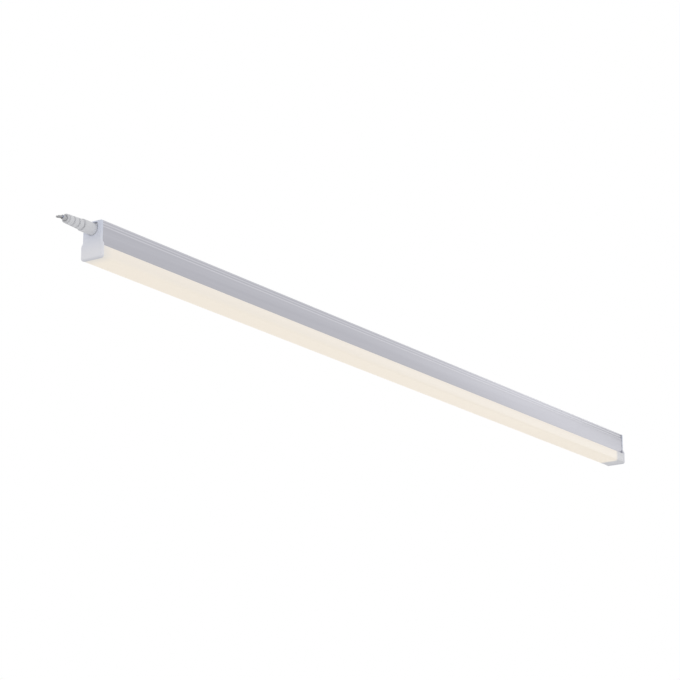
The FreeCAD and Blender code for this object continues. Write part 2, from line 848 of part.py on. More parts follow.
def make_choke(x):
    """A closed upright core, and a winding round each of its two upright limbs."""
    y = driver_y - s.choke_depth / 2
    window_height = s.choke_height - 2 * s.choke_limb
    shell = block("choke_shell", (x, y, driver_top), s.choke_length, s.choke_depth, s.choke_height)
    window = block("choke_window", (x + s.choke_limb, y - BEYOND, driver_top + s.choke_limb),
                   s.choke_length - 2 * s.choke_limb, s.choke_depth + 2 * BEYOND, window_height)
    node(less("choke", shell, window), "choke_core")
    coils = []
    for side, limb_x in ((-1, x), (1, x + s.choke_length - s.choke_limb)):
        corner = (limb_x - s.choke_coil, y - s.choke_coil, driver_top + s.choke_limb)
        coil = block(f"choke_coil_{side:+d}", corner, s.choke_limb + 2 * s.choke_coil,
                     s.choke_depth + 2 * s.choke_coil, window_height)
        limb = block(f"choke_limb_{side:+d}", (limb_x, y, driver_top),
                     s.choke_limb, s.choke_depth, s.choke_height)
        coils.append(less(f"choke_wound_{side:+d}", coil, limb))
    node(grouped("choke_windings", *coils), "choke_winding")


def make_inductor(x):
    """A closed core with a middle limb, and the wound bobbin on that limb."""
    y = driver_y - s.inductor_depth / 2
    window_length = s.inductor_length - 2 * s.inductor_limb
    window_height = (s.inductor_height - 3 * s.inductor_limb) / 2
    middle_limb = driver_top + s.inductor_limb + window_height
    shell = block("inductor_shell", (x, y, driver_top),
                  s.inductor_length, s.inductor_depth, s.inductor_height)
    windows = [block(f"inductor_window_{i}", (x + s.inductor_limb, y - BEYOND, height),
                     window_length, s.inductor_depth + 2 * BEYOND, window_height)
               for i, height in enumerate((driver_top + s.inductor_limb, middle_limb + s.inductor_limb))]
    node(less("inductor", shell, *windows), "inductor_core")
    corner = (x + s.inductor_limb, y - s.inductor_coil, driver_top + s.inductor_limb)
    coil = block("inductor_coil", corner, window_length, s.inductor_depth + 2 * s.inductor_coil,
                 s.inductor_height - 2 * s.inductor_limb)
    limb = block("inductor_middle", (x, y, middle_limb),
                 s.inductor_length, s.inductor_depth, s.inductor_limb)
    node(less("inductor_wound", coil, limb), "inductor_winding")


def make_driver_parts():
    """Everything on the driver board, from the mains end to the output."""
    live = driver_y + s.live_lane
    neutral = driver_y - s.neutral_lane
    make_axial("fuse_resistor", mains_row, live, s.fuse_radius, s.fuse_length)
    make_varistor(mains_row, neutral)
    make_box_part("film_capacitor", filter_row, neutral, s.film_length, s.film_width, s.film_height,
                  [(s.leg_reach, 0), (s.film_length - s.leg_reach, 0)])
    bridge_leg = s.bridge_width / 2 - s.leg_width
    make_box_part("bridge_rectifier", filter_row, live, s.bridge_length, s.bridge_width, s.bridge_height,
                  [(dx, side * bridge_leg) for dx in (s.leg_width, s.bridge_length - s.leg_width)
                   for side in SIDES])
    make_choke(choke_row)
    make_can("bulk_capacitor", bulk_row, s.bulk_length)
    make_inductor(inductor_row)
    chip_leg = s.chip_body_width / 2
    first_leg = s.chip_body_length / 2 - 1.5 * s.chip_leg_pitch
    make_box_part("driver_chip", chip_row, driver_y,
                  s.chip_body_length, s.chip_body_width, s.chip_body_height,
                  [(first_leg + i * s.chip_leg_pitch, side * chip_leg) for i in range(4) for side in SIDES])
    make_axial("output_diode", diode_row, driver_y, s.diode_radius, s.diode_length)
    make_can("output_capacitor", output_row, s.output_length)


# ---- wires
def tube(name, points, radius):
    """A wire along straight runs with mitred corners."""
    corners = [Vector(*(float(value) for value in point)) for point in points]
    path = Part.makePolygon(corners)
    ring = Part.Wire(Part.makeCircle(float(radius), corners[0], corners[1] - corners[0]))
    right_corners = 1
    solid = path.makePipeShell([ring], True, False, right_corners)
    expected = math.pi * float(radius) ** 2 * path.Length
    if abs(solid.Volume - expected) > 0.02 * expected:
        raise ValueError(f"{name} has volume {solid.Volume:.1f}, not {expected:.1f}")
    return solid


def wire_node(label, routes):
    """One sub-part of separate wires."""
    feature = doc.addObject("Part::Feature", label + "_solids")
    feature.Shape = Part.makeCompound([tube(label, route, s.wire_radius) for route in routes])
    feature.Placement = Placement()
    node(feature, label)


def make_wires():
    """Mains through to the outlet, mains to the driver, and the driver's output to the light source."""
    level = contact_height
    lower = level - 2 * s.wire_radius - s.wire_gap
    bend = tunnel_end - s.wire_exit
    lane_end = bend - s.wire_slant
    # Both through wires lie beside the driver. The neutral one crosses over the feed wires to get there.
    for label, side, lane_height in (("link_wire_live", 1, lower), ("link_wire_neutral", -1, level)):
        y = contact_y(side)
        wire_node(label, [[
            (-tunnel_end, y, level),
            (-bend, y, level),
            (-lane_end, s.wire_lane, lane_height),
            (lane_end, s.wire_lane, lane_height),
            (bend, y, level),
            (tunnel_end, y, level),
        ]])
    wire_node("feed_wires", [[
        (-tunnel_end, contact_y(side), lower),
        (mains_pad_x, contact_y(side), lower),
        (mains_pad_x, contact_y(side), driver_top),
    ] for side in SIDES])
    wire_node("led_wires", [[
        (led_pad_x, side * s.led_wire_spacing / 2, driver_top + s.wire_radius),
        (led_wire_x, side * s.led_wire_spacing / 2, driver_top + s.wire_radius),
        (led_wire_x, side * s.led_wire_spacing / 2, chip_under),
    ] for side in SIDES])


# ---- ceiling clips
def make_clip(name, x):
    """A strip of spring steel: a flat base for the screw, and two legs with feet under the channel's lips."""
    base_half = s.clip_base_width / 2
    foot_top_face = lip_under - s.clip_play
    foot_low = foot_top_face - s.clip_strip
    section = mirrored_outline([
        (base_half - s.clip_strip, -s.clip_strip),
        (base_half - s.clip_strip, foot_low),
        (s.clip_reach, foot_low),
        (s.clip_reach, foot_top_face),
        (base_half, foot_top_face),
        (base_half, 0),
    ])
    body = doc.addObject("PartDesign::Body", name)
    pad(body, name + "_strip", "YZ_Plane", -s.clip_length / 2, s.clip_length, [section])
    pocket(body, name + "_hole", "XY_Plane", -s.clip_strip - BEYOND, s.clip_strip + 2 * BEYOND,
           circles=[((0, 0), s.clip_screw_radius)])
    return node(place(body, x, 0, 0), name)


make_housing()
make_diffuser()
make_light_source()
make_cap("near_end_cap", turned=False)
make_cap("far_end_cap", turned=True)
make_inlet()
make_outlet()
make_blanking_cover()
make_plug_head()
make_plug_body()
make_lead()
make_driver_case()
make_driver_parts()
make_wires()
make_clip("clip_near", -clip_x)
make_clip("clip_far", clip_x)
doc.recompute()

# ---- every object is checked before anything is written
for thing in doc.Objects:
    if {"Invalid", "Error"} & set(thing.State):
        raise ValueError(f"{thing.Name} failed: {thing.State}")
for thing in nodes:
    if thing.Shape.isNull() or not thing.Shape.isValid() or not thing.Shape.Solids:
        raise ValueError(f"{thing.Label} has no valid solid")

os.makedirs("parts", exist_ok=True)
for thing in nodes:
    thing.Shape.exportStep(f"parts/{thing.Label}.step")
print(len(nodes), "sub-parts")
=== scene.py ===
import math

import bmesh
import bpy
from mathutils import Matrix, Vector


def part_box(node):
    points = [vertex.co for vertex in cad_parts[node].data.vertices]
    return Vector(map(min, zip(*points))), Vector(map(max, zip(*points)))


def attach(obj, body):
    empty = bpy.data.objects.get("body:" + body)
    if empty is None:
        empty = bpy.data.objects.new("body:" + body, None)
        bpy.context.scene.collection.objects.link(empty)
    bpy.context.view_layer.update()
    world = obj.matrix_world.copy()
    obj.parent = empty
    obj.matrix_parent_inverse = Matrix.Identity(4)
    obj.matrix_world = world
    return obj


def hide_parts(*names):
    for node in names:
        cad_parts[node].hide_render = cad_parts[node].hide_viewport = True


# A slim linear ceiling light, seen from below its plug end. +X runs along the light to the far end, +Y across
# it and +Z up, in metres.

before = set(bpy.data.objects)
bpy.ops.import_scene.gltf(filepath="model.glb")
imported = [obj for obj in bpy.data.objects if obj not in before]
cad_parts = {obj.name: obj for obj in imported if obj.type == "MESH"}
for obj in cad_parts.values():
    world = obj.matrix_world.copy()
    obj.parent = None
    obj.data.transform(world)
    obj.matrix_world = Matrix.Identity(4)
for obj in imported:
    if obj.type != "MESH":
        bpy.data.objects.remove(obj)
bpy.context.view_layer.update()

MM = 0.001
DEG = math.pi / 180

# ---- camera
CAMERA_AT = Vector((-1845.4, -1217.5, -635.8)) * MM
CAMERA_YAW = 55.292 * DEG
CAMERA_PITCH = 16.156 * DEG
CAMERA_LENS = 129.0


def make_camera():
    data = bpy.data.cameras.new("camera")
    data.lens = CAMERA_LENS
    data.clip_start = 0.05
    data.clip_end = 300
    camera = bpy.data.objects.new("camera", data)
    bpy.context.scene.collection.objects.link(camera)
    level = math.cos(CAMERA_PITCH)
    ahead = Vector((math.sin(CAMERA_YAW) * level, math.cos(CAMERA_YAW) * level, math.sin(CAMERA_PITCH)))
    camera.location = CAMERA_AT
    camera.rotation_euler = ahead.to_track_quat("-Z", "Y").to_euler()
    bpy.context.scene.camera = camera


make_camera()


# ---- shader maths
class Socket:
    """An output of a shader node. Arithmetic on it adds Math nodes to its tree."""

    def __init__(self, tree, output):
        self.tree = tree
        self.output = output

    def math(self, operation, *others, clamp=False):
        node = self.tree.nodes.new("ShaderNodeMath")
        node.operation = operation
        node.use_clamp = clamp
        for slot, value in zip(node.inputs, (self, *others)):
            if isinstance(value, Socket):
                self.tree.links.new(value.output, slot)
            else:
                slot.default_value = value
        return Socket(self.tree, node.outputs[0])

    def __add__(self, other):
        return self.math("ADD", other)

    __radd__ = __add__

    def __sub__(self, other):
        return self.math("SUBTRACT", other)

    def __rsub__(self, other):
        return self.math("MULTIPLY_ADD", -1.0, other)

    def __mul__(self, other):
        return self.math("MULTIPLY", other)

    __rmul__ = __mul__

    def __truediv__(self, other):
        return self.math("DIVIDE", other)

    def __abs__(self):
        return self.math("ABSOLUTE")

    def above(self, level):
        return self.math("GREATER_THAN", level)

    def below(self, level):
        return self.math("LESS_THAN", level)

    def at_least(self, level):
        return self.math("MAXIMUM", level)

    def at_most(self, level):
        return self.math("MINIMUM", level)

    def held(self):
        """Kept between 0 and 1."""
        return self.math("ADD", 0.0, clamp=True)

    def wave(self, length, phase=0.0):
        """A sine wave from 0 to 1."""
        return (self * (2 * math.pi / length) + phase).math("SINE") * 0.5 + 0.5

    def rise(self, low, high):
        """A straight ramp from 0 at low to 1 at high."""
        return ((self - low) / (high - low)).held()

    def near(self, place, reach):
        """1 at the place, falling to 0 at reach from it."""
        return 1 - (abs(self - place) / reach).held()


class Finish:
    """A material on a Principled shader."""

    def __init__(self, name, **fixed):
        self.material = bpy.data.materials.new(name)
        self.material.use_nodes = True
        self.tree = self.material.node_tree
        self.shader = self.tree.nodes["Principled BSDF"]
        for label, value in fixed.items():
            self.shader.inputs[label.replace("_", " ").title().replace("Ior", "IOR")].default_value = value
        self.coordinates = self.node("ShaderNodeTexCoord").outputs["Object"]
        axes = self.node("ShaderNodeSeparateXYZ", Vector=self.coordinates).outputs
        self.x, self.y, self.z = (Socket(self.tree, axes[i]) for i in range(3))

    def node(self, kind, settings=None, **inputs):
        """Any other node: its settings first, then the values or links of its sockets."""
        made = self.tree.nodes.new(kind)
        for label, value in (settings or {}).items():
            setattr(made, label, value)
        for label, value in inputs.items():
            slot = made.inputs[label.replace("_", " ")]
            if isinstance(value, Socket):
                self.tree.links.new(value.output, slot)
            elif isinstance(value, bpy.types.NodeSocket):
                self.tree.links.new(value, slot)
            else:
                slot.default_value = value
        return made

    def noise(self, *per_metre, detail=3.0, rough=0.5):
        """Noise with that many features to the metre, along X, Y and Z or the same all ways."""
        scales = per_metre * 3 if len(per_metre) == 1 else per_metre
        stretched = self.node("ShaderNodeMapping", Vector=self.coordinates, Scale=scales).outputs[0]
        made = self.node("ShaderNodeTexNoise", Vector=stretched, Scale=1.0, Detail=detail, Roughness=rough)
        return Socket(self.tree, made.outputs["Fac"])

    def cells(self, per_metre):
        """Random small grains, as a distance to the nearest one."""
        made = self.node("ShaderNodeTexVoronoi", Vector=self.coordinates, Scale=per_metre)
        return Socket(self.tree, made.outputs["Distance"])

    def facing(self, axis):
        """The surface's own normal along X, Y or Z."""
        normal = self.node("ShaderNodeTexCoord").outputs["Normal"]
        axes = self.node("ShaderNodeSeparateXYZ", Vector=normal).outputs
        return Socket(self.tree, axes["XYZ".index(axis)])

    def mix(self, amount, first, second):
        """A colour between two colours, which may be outputs of earlier mixes."""
        made = self.node("ShaderNodeMix", {"data_type": "RGBA"})
        self.tree.links.new(amount.output, made.inputs[0])
        for slot, colour in ((made.inputs[6], first), (made.inputs[7], second)):
            if isinstance(colour, bpy.types.NodeSocket):
                self.tree.links.new(colour, slot)
            else:
                slot.default_value = (*colour, 1.0)
        return made.outputs[2]

    def colour(self, output, label="Base Color"):
        self.tree.links.new(output, self.shader.inputs[label])
        return self

    def vary(self, label, socket):
        self.tree.links.new(socket.output, self.shader.inputs[label])
        return self

    def relief(self, height, depth, strength=1.0):
        """Bumps of a real depth, from a height between 0 and 1."""
        made = self.node("ShaderNodeBump", Height=height, Distance=depth, Strength=strength)
        self.tree.links.new(made.outputs[0], self.shader.inputs["Normal"])
        return self


# ---- places that the finishes and the new pieces share, from the frame
housing_low, housing_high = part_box("housing")
diffuser_low, diffuser_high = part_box("diffuser")
near_low, near_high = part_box("near_end_cap")
plug_low, plug_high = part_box("plug_body")
cover_low, cover_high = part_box("blanking_cover")
block_low, block_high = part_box("inlet_block")
axis_z = (plug_low.z + plug_high.z) / 2
SIDE_RIB_PITCH = 2.3 * MM

# The sides of the extrusion reach lower than in the frame, and the trough below them is shallower.
SIDE_DROP = 1.4 * MM
TROUGH_TOP = diffuser_high.z - SIDE_DROP
TROUGH_UNDER = diffuser_low.z + 0.1 * MM
CAP_UNDER = TROUGH_UNDER - 0.15 * MM


# ---- finishes
def anodised_extrusion():
    """Satin anodised aluminium, with drawing lines along it, saw marks on its cut ends and a painted
    highlight on the crests of the ribs along the top of its sides.
    """
    f = Finish("anodised_extrusion", metallic=1.0)
    lines = f.noise(5, 2600, 2600, detail=4.0)
    bands = f.noise(1.5, 160, 160)
    # painted highlight: the crests of the side ribs are coloured lighter
    painted_crest_highlight = 0.0
    for i in range(3):
        painted_crest_highlight = f.z.near(housing_high.z - i * SIDE_RIB_PITCH - 0.4 * MM, 0.9 * MM) + painted_crest_highlight
    side = abs(f.facing("Y")).rise(0.6, 0.9)
    cut_end = abs(f.facing("X")).rise(0.6, 0.9)
    tone = (lines * 0.35 + bands * 0.65).rise(0.3, 0.7)
    satin = f.mix(tone, (0.460, 0.460, 0.503), (0.520, 0.520, 0.565))
    with_crest_highlight = f.mix((painted_crest_highlight * side).held() * 0.6, satin, (0.70, 0.70, 0.74))
    sawn = f.noise(300, 60, 4000)
    f.colour(f.mix(cut_end * 0.7, with_crest_highlight, (0.72, 0.72, 0.74)))
    f.vary("Roughness", 0.30 + lines * 0.12 + cut_end * 0.1)
    return f.relief(lines * (1 - cut_end) + sawn * cut_end, 0.02 * MM, 0.4)


def opal_lit():
    """Opal plastic lit from inside. The light falls away past the ends of the row of chips, and past the far
    end a faint cool painted glow lights the plastic.
    """
    f = Finish("opal_lit", roughness=0.38, emission_strength=1.0)
    near_dim_end = diffuser_low.x + 11 * MM
    far_dim_start = diffuser_high.x - 18 * MM
    far_dim_end = diffuser_high.x - 13 * MM
    near_glow = f.x.rise(diffuser_low.x - 4 * MM, near_dim_end)
    far_glow = 1 - f.x.rise(far_dim_start, far_dim_end)
    under = 1 - f.z.rise(TROUGH_UNDER, TROUGH_UNDER + 3 * MM)
    haze = f.noise(40, 60, 60) * 0.02
    f.colour(f.mix(f.noise(900, detail=2.0), (0.60, 0.595, 0.585), (0.64, 0.635, 0.625)))
    # real falloff at the near end; painted glow past the far end of the chips, where the plastic is made to
    # glow a faint cool white
    falloff_and_painted_glow = f.mix(far_glow, (0.10, 0.105, 0.13), (0.24, 0.22, 0.20))
    lit = f.mix(under, (0.34, 0.285, 0.215), (0.40, 0.335, 0.245))
    f.colour(f.mix((near_glow.at_most(far_glow) - haze).held(), falloff_and_painted_glow, lit), "Emission Color")
    return f.relief(f.noise(3000, detail=2.0), 0.01 * MM, 0.3)


def moulded(name, dark, light, rough, grain=2500, depth=0.02):
    """Plastic moulded in a tool with a fine spark-eroded grain."""
    f = Finish(name)
    f.colour(f.mix(f.noise(120, detail=4.0), dark, light))
    f.vary("Roughness", rough + f.noise(700) * 0.1)
    return f.relief(f.cells(grain), depth * MM, 0.35)


def cap_moulding():
    """Cool white plastic with painted light: painted shade makes it darker and bluer towards the top and
    darker along the bottom edge, and a painted glow on the lower part stands in for the light from inside
    that shows through the plastic.
    """
    f = Finish("cap_moulding", specular_ior_level=0.5, emission_strength=1.0)
    cloud = f.noise(90, detail=4.0)
    rub = f.noise(900, detail=2.0)
    # painted shade and painted glow: lighter and glowing low down, darker and bluer higher up
    low = 1 - f.z.rise(-26 * MM, -6 * MM)
    # painted shade: a darker band along the bottom edge
    rim = 1 - f.z.rise(CAP_UNDER + 0.2 * MM, CAP_UNDER + 2.2 * MM)
    height = f.mix(low, (0.70, 0.74, 0.86), (0.80, 0.80, 0.84))
    clean = f.mix(cloud * 0.4, height, (0.78, 0.80, 0.88))
    # darker rubbed patches, and the painted shade along the bottom edge
    f.colour(f.mix((rub.rise(0.62, 0.8) * 0.15 + rim * 0.3).held(), clean, (0.55, 0.57, 0.63)))
    # painted glow on the lower part, except along the bottom edge
    f.colour(f.mix(low * (1 - rim), (0.0, 0.0, 0.0), (0.055, 0.052, 0.05)), "Emission Color")
    f.vary("Roughness", 0.40 + rub * 0.12)
    return f.relief(f.cells(2400), 0.02 * MM, 0.3)


def supple_moulding():
    """Soft grey plastic of the plug, with painted shade in the grooves between its rings."""
    f = Finish("supple_moulding", specular_ior_level=0.35)
    groove_floor, ring_skin = 2.7 * MM, 3.9 * MM
    out = ((f.y * f.y) + (f.z - axis_z) * (f.z - axis_z)).math("SQRT")
    # painted shade: darker down in the grooves between the rings
    painted_groove_shade = 1 - out.rise(groove_floor, ring_skin)
    cloud = f.noise(250, detail=4.0)
    clean = f.mix(cloud, (0.71, 0.715, 0.74), (0.77, 0.775, 0.80))
    f.colour(f.mix(painted_groove_shade * 0.5, clean, (0.36, 0.36, 0.38)))
    f.vary("Roughness", 0.5 + cloud * 0.15)
    seam = f.y.near(0.0, 0.12 * MM)
    return f.relief(f.cells(2600) * 0.5 + seam, 0.02 * MM, 0.3)


def sheath():
    """The soft outer jacket of the lead, drawn along its length."""
    f = Finish("sheath", specular_ior_level=0.4)
    drawn = f.noise(30, 1800, 1800)
    f.colour(f.mix(drawn, (0.54, 0.54, 0.555), (0.60, 0.60, 0.615)))
    f.vary("Roughness", 0.42 + drawn * 0.15)
    return f.relief(drawn, 0.02 * MM, 0.4)


def core_insulation():
    """One core brown, the other blue."""
    f = Finish("core_insulation")
    tone = f.noise(800)
    brown = f.mix(tone, (0.16, 0.075, 0.030), (0.20, 0.095, 0.04))
    blue = f.mix(tone, (0.045, 0.12, 0.35), (0.06, 0.15, 0.42))
    f.colour(f.mix(f.y.above(0.0), blue, brown))
    f.vary("Roughness", 0.35 + tone * 0.1)
    return f.relief(f.noise(60, 2500, 2500), 0.01 * MM, 0.3)


def plated(name, dark, light, rough, lines=(300, 300, 300)):
    """Plated metal with faint marks."""
    f = Finish(name, metallic=1.0)
    marks = f.noise(*lines, detail=4.0)
    f.colour(f.mix(marks, dark, light))
    f.vary("Roughness", rough + marks * 0.15)
    return f.relief(marks, 0.01 * MM, 0.4)


def crimped_tin():
    """Dull tinned metal with the marks of the crimping tool across it."""
    f = Finish("crimped_tin", metallic=1.0)
    stain = f.noise(1200, detail=4.0)
    ridges = f.x.wave(0.9 * MM)
    f.colour(f.mix(stain, (0.42, 0.42, 0.43), (0.50, 0.50, 0.51)))
    f.vary("Roughness", 0.34 + stain * 0.2)
    return f.relief(ridges, 0.06 * MM, 0.6)


def white_board():
    """White solder mask with the raised lines of the copper under it."""
    f = Finish("white_board", specular_ior_level=0.5)
    tracks = f.y.wave(3.2 * MM).rise(0.45, 0.55)
    print_grain = f.noise(1500)
    f.colour(f.mix(tracks * 0.5 + print_grain * 0.3, (0.80, 0.81, 0.79), (0.86, 0.87, 0.85)))
    f.vary("Roughness", 0.35 + print_grain * 0.15)
    return f.relief(tracks, 0.04 * MM, 0.5)


def green_board():
    """Green solder mask, lighter over the copper."""
    f = Finish("green_board", specular_ior_level=0.5)
    copper = f.cells(260).rise(0.25, 0.32)
    weave = f.x.wave(1.0 * MM) * f.y.wave(1.0 * MM)
    f.colour(f.mix(copper, (0.03, 0.20, 0.07), (0.015, 0.12, 0.045)))
    f.vary("Roughness", 0.3 + weave * 0.1)
    return f.relief(copper * 0.7 + weave * 0.3, 0.04 * MM, 0.4)


CHIP_PITCH = 11.75 * MM


def phosphor_chips():
    """White frames with a yellow gel window in the middle of each chip."""
    f = Finish("phosphor_chips", specular_ior_level=0.5)
    chips_low, chips_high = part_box("led_chips")
    half_chip = 1.75 * MM
    half_window, half_window_across = 1.4 * MM, 1.1 * MM
    along = abs(((f.x - chips_low.x) / CHIP_PITCH).math("FRACT") * CHIP_PITCH - half_chip)
    window = along.below(half_window) * abs(f.y).below(half_window_across) * f.z.below(chips_low.z + 0.1 * MM)
    grain = f.noise(4000)
    gel = f.mix(grain, (0.80, 0.62, 0.10), (0.88, 0.72, 0.18))
    f.colour(f.mix(window, (0.82, 0.82, 0.80), gel))
    f.vary("Roughness", 0.45 - window * 0.2)
    return f.relief(1 - window, 0.05 * MM, 0.5)


def clear_film():
    """Thin insulating film, milky, with soft creases."""
    f = Finish("clear_film", ior=1.5)
    crease = f.noise(40, 200, 200, detail=4.0)
    f.colour(f.mix(crease, (0.66, 0.66, 0.60), (0.76, 0.76, 0.71)))
    f.vary("Alpha", 0.45 + crease * 0.15)
    f.vary("Roughness", 0.2 + crease * 0.1)
    return f.relief(crease, 0.1 * MM, 0.3)


def banded_lacquer():
    """The dull green lacquer of a fusible resistor, with its rings of colour."""
    f = Finish("banded_lacquer", specular_ior_level=0.5)
    low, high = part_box("fuse_resistor")
    radius = (high.y - low.y) / 2
    on_leg = (high.z - f.z).above(2 * radius)
    speckle = f.noise(1800)
    paint = f.mix(speckle, (0.10, 0.17, 0.13), (0.14, 0.22, 0.17))
    rings = ((0.30, (0.75, 0.55, 0.05)), (0.42, (0.25, 0.06, 0.40)), (0.54, (0.05, 0.05, 0.05)),
             (0.68, (0.55, 0.38, 0.12)))
    for share, ring in rings:
        place = low.x + (high.x - low.x) * share
        paint = f.mix(f.x.near(place, 0.5 * MM).rise(0.1, 0.2), paint, ring)
    f.colour(f.mix(on_leg, paint, (0.60, 0.60, 0.60)))
    f.vary("Metallic", on_leg)
    f.vary("Roughness", 0.35 + speckle * 0.15)
    return f.relief(speckle, 0.03 * MM, 0.4)


def dipped(name, dark, light, rough=0.3):
    """A lacquer skin that ran a little before it set."""
    f = Finish(name, specular_ior_level=0.5, coat_weight=0.3)
    runs = f.noise(300, 300, 120, detail=2.0)
    f.colour(f.mix(runs, dark, light))
    f.vary("Roughness", rough + f.noise(1500) * 0.1)
    return f.relief(runs, 0.1 * MM, 0.4)


def ferrite():
    """Dark sintered ferrite with pale chipped grains."""
    f = Finish("ferrite", specular_ior_level=0.4)
    grain = f.cells(3000)
    chips = f.noise(2500).rise(0.66, 0.72)
    f.colour(f.mix(chips * 0.5, (0.045, 0.045, 0.050), (0.16, 0.16, 0.17)))
    f.vary("Roughness", 0.55 + grain * 0.2)
    return f.relief(grain, 0.05 * MM, 0.5)


def enamelled_copper():
    """Close turns of enamelled copper wire, with painted highlight on each turn and painted shade between
    turns.
    """
    f = Finish("enamelled_copper", metallic=1.0)
    turns = f.z.wave(0.42 * MM)
    tint = f.noise(500)
    # painted highlight and shade: lighter on each turn, darker between turns
    f.colour(f.mix(turns * 0.6 + tint * 0.4, (0.26, 0.09, 0.03), (0.62, 0.27, 0.11)))
    f.vary("Roughness", 0.28 + tint * 0.12)
    return f.relief(turns, 0.15 * MM, 0.8)


def can_sleeve():
    """The dark shrink sleeve of a capacitor, with a pale stripe along it and bare metal at its end."""
    f = Finish("can_sleeve", specular_ior_level=0.5)
    bulk_low, bulk_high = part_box("bulk_capacitor")
    out_low, out_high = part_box("output_capacitor")
    ends = f.x.near(bulk_high.x, 0.4 * MM) + f.x.near(out_high.x, 0.4 * MM)
    stripe = f.y.below(bulk_low.y + 1.6 * MM)
    bare = ends.rise(0.1, 0.3)
    wrinkle = f.noise(120, 900, 900)
    skin = f.mix(stripe, (0.012, 0.022, 0.055), (0.45, 0.47, 0.50))
    f.colour(f.mix(bare, skin, (0.72, 0.72, 0.73)))
    f.vary("Metallic", bare)
    f.vary("Roughness", 0.28 + wrinkle * 0.15)
    return f.relief(wrinkle, 0.03 * MM, 0.4)


def wire_skin(name, dark, light):
    """Thin extruded insulation."""
    f = Finish(name, specular_ior_level=0.5)
    drawn = f.noise(60, 3000, 3000)
    f.colour(f.mix(drawn, dark, light))
    f.vary("Roughness", 0.35 + drawn * 0.15)
    return f.relief(drawn, 0.01 * MM, 0.4)


def twin_wires(name, first, second):
    """A pair of wires, one each side of the middle."""
    f = Finish(name, specular_ior_level=0.5)
    drawn = f.noise(60, 3000, 3000)
    tone = f.mix(f.y.above(0.0), first, second)
    f.colour(f.mix(drawn * 0.3, tone, (0.5, 0.5, 0.5)))
    f.vary("Roughness", 0.35 + drawn * 0.15)
    return f.relief(drawn, 0.01 * MM, 0.4)


contact_moulding = moulded("contact_moulding", (0.54, 0.54, 0.54), (0.60, 0.60, 0.60), 0.5)
black_moulding = moulded("black_moulding", (0.020, 0.020, 0.022), (0.032, 0.032, 0.034), 0.45)
nickel = plated("nickel", (0.56, 0.53, 0.44), (0.68, 0.64, 0.54), 0.2)
spring_steel = plated("spring_steel", (0.44, 0.44, 0.45), (0.58, 0.58, 0.59), 0.26, (12, 900, 900))
white_cap = cap_moulding()
supple = supple_moulding()
extrusion = anodised_extrusion()
tin = crimped_tin()

FINISHES = {
    "housing": extrusion,
    "diffuser": opal_lit(),
    "led_board": white_board(),
    "led_chips": phosphor_chips(),
    "near_end_cap": white_cap,
    "far_end_cap": white_cap,
    "inlet_block": contact_moulding,
    "inlet_pins": nickel,
    "outlet_block": contact_moulding,
    "outlet_sockets": nickel,
    "blanking_cover": white_cap,
    "plug_insert": supple,
    "plug_sockets": nickel,
    "plug_body": supple,
    "lead_sheath": sheath(),
    "lead_cores": core_insulation(),
    "core_ferrules": tin,
    "driver_sleeve": clear_film(),
    "driver_board": green_board(),
    "fuse_resistor": banded_lacquer(),
    "varistor": dipped("blue_lacquer", (0.010, 0.045, 0.25), (0.020, 0.075, 0.36)),
    "film_capacitor": dipped("yellow_case", (0.55, 0.38, 0.03), (0.66, 0.47, 0.05), 0.4),
    "bridge_rectifier": black_moulding,
    "choke_core": ferrite(),
    "choke_winding": enamelled_copper(),
    "bulk_capacitor": can_sleeve(),
    "inductor_core": ferrite(),
    "inductor_winding": enamelled_copper(),
    "driver_chip": black_moulding,
    "output_diode": black_moulding,
    "output_capacitor": can_sleeve(),
    "feed_wires": twin_wires("feed_wire_skins", (0.06, 0.14, 0.42), (0.22, 0.10, 0.04)),
    "link_wire_live": wire_skin("brown_skin", (0.16, 0.07, 0.03), (0.22, 0.10, 0.04)),
    "link_wire_neutral": wire_skin("blue_skin", (0.04, 0.11, 0.34), (0.06, 0.15, 0.42)),
    "led_wires": twin_wires("led_wire_skins", (0.05, 0.05, 0.05), (0.45, 0.04, 0.03)),
    "clip_near": spring_steel,
    "clip_far": spring_steel,
}
for name, finish in FINISHES.items():
    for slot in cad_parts[name].material_slots:
        slot.material = finish.material


# ---- new pieces. Each is modelled in its place, rides its body and stands for its node.
SAME = 0.02 * MM
SMOOTH_BELOW = 35 * DEG


def settle(piece, node, body):
    """Gives a finished piece its finish and body, in place of a node of the frame."""
    bpy.ops.object.mode_set(mode="OBJECT")
    piece.data.materials.clear()
    piece.data.materials.append(FINISHES[node].material)
    bpy.ops.object.select_all(action="DESELECT")
    piece.select_set(True)
    bpy.context.view_layer.objects.active = piece
    bpy.ops.object.shade_smooth_by_angle(angle=SMOOTH_BELOW)
    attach(piece, body)
    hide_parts(node)


def named(name):
    """The primitive just added, with its place in its mesh, open in edit mode."""
    piece = bpy.context.object
    piece.name = name
    bpy.ops.object.transform_apply(location=True, rotation=True, scale=True)
    bpy.ops.object.mode_set(mode="EDIT")
    return piece


def add_block(name, low, high):
    bpy.ops.object.select_all(action="DESELECT")
    low, high = Vector(low), Vector(high)
    bpy.ops.mesh.primitive_cube_add(size=1, location=(low + high) / 2, scale=high - low)
    return named(name)


def add_rod(name, start, length, radius, sides=48):
    """A round bar along +X."""
    bpy.ops.object.select_all(action="DESELECT")
    middle = Vector(start) + Vector((length / 2, 0, 0))
    bpy.ops.mesh.primitive_cylinder_add(vertices=sides, radius=radius, depth=length, location=middle,
                                        rotation=(0, math.pi / 2, 0))
    return named(name)


def copy_of(source, name):
    bpy.ops.object.select_all(action="DESELECT")
    made = source.copy()
    made.data = source.data.copy()
    made.name = name
    made.parent = None
    bpy.context.scene.collection.objects.link(made)
    made.select_set(True)
    bpy.context.view_layer.objects.active = made
    return made


